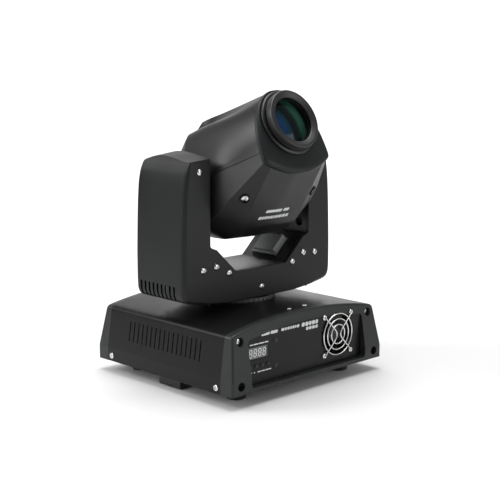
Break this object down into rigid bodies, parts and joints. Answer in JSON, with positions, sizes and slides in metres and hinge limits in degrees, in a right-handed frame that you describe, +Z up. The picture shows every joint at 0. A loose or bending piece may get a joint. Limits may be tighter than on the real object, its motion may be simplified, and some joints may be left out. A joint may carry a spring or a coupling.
{
  "type": "moving head light",
  "caption": "Motorised stage spotlight: a lamp head tilts in a two-armed yoke, and the yoke pans on a low base with a control panel and a cooling fan.",
  "frame": {"origin": "centre of the footprint on the floor under the rubber feet", "axes": "+Z up, the control panel and the beam face -Y at rest, +X to the viewer's right when facing the control panel"},
  "size_m": [0.2748, 0.261, 0.3716],
  "materials": {
    "black_sheet": "satin powder coat on steel sheet",
    "cover_paint": "fine textured satin powder coat",
    "cap_plastic": "moulded, lightly grained",
    "panel_gloss": "smooth, semi-gloss",
    "display_face": "smoked window over grey digits",
    "button_plastic": "satin",
    "board_green": "solder mask",
    "fan_plastic": "satin moulding",
    "guard_chrome": "bright plated wire",
    "screw_chrome": "bright plated",
    "socket_plastic": "satin",
    "socket_metal": "dark plated",
    "foot_rubber": "matt",
    "bracket_paint": "satin black",
    "lock_zinc": "zinc plated",
    "case_zinc": "zinc plated sheet",
    "collar_plastic": "ribbed moulding",
    "motor_steel": "black laminations and end caps",
    "pulley_alu": "machined",
    "belt_rubber": "matt toothed belt",
    "spindle_steel": "turned",
    "trough_paint": "satin powder coat",
    "yoke_plastic": "satin moulding",
    "arm_plastic": "satin moulding",
    "clamp_metal": "plated",
    "bearing_steel": "ground",
    "axle_steel": "turned",
    "shell_plastic": "satin, lightly reflective",
    "bezel_plastic": "matt moulding",
    "barrel_plastic": "matt black",
    "ring_anodised": "black anodised, satin",
    "lens_glass": "coated convex lens with green and blue reflections",
    "led_ceramic": "white board with a domed emitter lens",
    "sink_alu": "extruded fins",
    "wheel_alu": "thin stamped disc",
    "wheel_steel": "thin stamped disc"
  },
  "bodies": {
    "base": {"base_tray": "black_sheet", "base_cover": "cover_paint", "front_end_cap": "cap_plastic", "rear_end_cap": "cap_plastic", "front_panel": "panel_gloss", "rear_panel": "panel_gloss", "display_module": "display_face", "control_board": "board_green", "fan_frame": "fan_plastic", "fan_guard": "guard_chrome", "panel_screws": "screw_chrome", "base_screws": "screw_chrome", "power_inlet": "socket_plastic", "data_in_socket": "socket_metal", "data_out_socket": "socket_metal", "rubber_feet": "foot_rubber", "omega_bracket": "bracket_paint", "bracket_locks": "lock_zinc", "power_supply": "case_zinc", "base_bridge": "case_zinc", "pan_bearing": "collar_plastic", "pan_motor": "motor_steel", "pan_belt": "belt_rubber"},
    "yoke": {"pan_pulley": "pulley_alu", "pan_spindle": "spindle_steel", "yoke_trough": "trough_paint", "yoke_bottom_plate": "trough_paint", "yoke_front_cover": "yoke_plastic", "yoke_rear_cover": "yoke_plastic", "left_arm_cover": "arm_plastic", "right_arm_cover": "arm_plastic", "yoke_screws": "screw_chrome", "cable_clamp": "clamp_metal", "tilt_bearings": "bearing_steel", "tilt_motor": "motor_steel", "tilt_belt": "belt_rubber"},
    "head": {"tilt_pulley": "pulley_alu", "tilt_axles": "axle_steel", "head_chassis": "case_zinc", "upper_shell": "shell_plastic", "lower_shell": "shell_plastic", "nose_bezel": "bezel_plastic", "lens_barrel": "barrel_plastic", "led_module": "led_ceramic", "heat_sink": "sink_alu", "wheel_motors": "motor_steel", "head_fasteners": "screw_chrome"},
    "focus_grip": {"focus_ring": "ring_anodised"},
    "focus_lens": {"lens_cell": "barrel_plastic", "front_lens": "lens_glass"},
    "head_fan": {"head_fan_rotor": "fan_plastic"},
    "colour_disc": {"colour_wheel": "wheel_alu"},
    "gobo_disc": {"gobo_wheel": "wheel_steel"},
    "base_fan": {"base_fan_rotor": "fan_plastic"},
    "pan_drive": {"pan_motor_pulley": "pulley_alu"},
    "tilt_drive": {"tilt_motor_pulley": "pulley_alu"},
    "menu_key": {"button_menu": "button_plastic"},
    "down_key": {"button_down": "button_plastic"},
    "up_key": {"button_up": "button_plastic"},
    "enter_key": {"button_enter": "button_plastic"}
  },
  "joints": [
    {"name": "pan", "type": "hinge", "parent": "base", "child": "yoke", "pos_m": [0, 0, 0.105], "axis": [0, 0, 1], "range_deg": [-270, 270]},
    {"name": "tilt", "type": "hinge", "parent": "yoke", "child": "head", "pos_m": [0, 0, 0.251], "axis": [1, 0, 0], "range_deg": [-172, 44]},
    {"name": "focus_turn", "type": "hinge", "parent": "head", "child": "focus_grip", "pos_m": [0, -0.09291, 0.33425], "axis": [0, -0.8988, 0.4384], "range_deg": [-150, 75]},
    {"name": "lens_travel", "type": "slide", "parent": "head", "child": "focus_lens", "axis": [0, -0.8988, 0.4384], "range_m": [-0.004, 0.002]},
    {"name": "head_fan_spin", "type": "hinge", "parent": "head", "child": "head_fan", "pos_m": [0, 0.05532, 0.24627], "axis": [0, -0.8988, 0.4384], "continuous": true},
    {"name": "colour_spin", "type": "hinge", "parent": "head", "child": "colour_disc", "pos_m": [-0.024, -0.00662, 0.29217], "axis": [0, -0.8988, 0.4384], "continuous": true},
    {"name": "gobo_spin", "type": "hinge", "parent": "head", "child": "gobo_disc", "pos_m": [0.024, -0.01561, 0.29655], "axis": [0, -0.8988, 0.4384], "continuous": true},
    {"name": "base_fan_spin", "type": "hinge", "parent": "base", "child": "base_fan", "pos_m": [0.0575, -0.1126, 0.0597], "axis": [0, 1, 0], "continuous": true},
    {"name": "pan_drive_turn", "type": "hinge", "parent": "base", "child": "pan_drive", "pos_m": [-0.072, 0, 0.0645], "axis": [0, 0, 1], "range_deg": [-1081, 1081]},
    {"name": "tilt_drive_turn", "type": "hinge", "parent": "yoke", "child": "tilt_drive", "pos_m": [0.102, 0, 0.136], "axis": [1, 0, 0], "range_deg": [-689, 177]},
    {"name": "menu_press", "type": "slide", "parent": "base", "child": "menu_key", "axis": [0, 1, 0], "range_m": [0, 0.0008], "stiffness_N_per_m": 700},
    {"name": "down_press", "type": "slide", "parent": "base", "child": "down_key", "axis": [0, 1, 0], "range_m": [0, 0.0008], "stiffness_N_per_m": 700},
    {"name": "up_press", "type": "slide", "parent": "base", "child": "up_key", "axis": [0, 1, 0], "range_m": [0, 0.0008], "stiffness_N_per_m": 700},
    {"name": "enter_press", "type": "slide", "parent": "base", "child": "enter_key", "axis": [0, 1, 0], "range_m": [0, 0.0008], "stiffness_N_per_m": 700}
  ],
  "couplings": [
    {"joint": "pan_drive_turn", "follows": "pan", "ratio": 4},
    {"joint": "tilt_drive_turn", "follows": "tilt", "ratio": 4},
    {"joint": "lens_travel", "follows": "focus_turn", "m_per_rad": 0.001525}
  ]
}
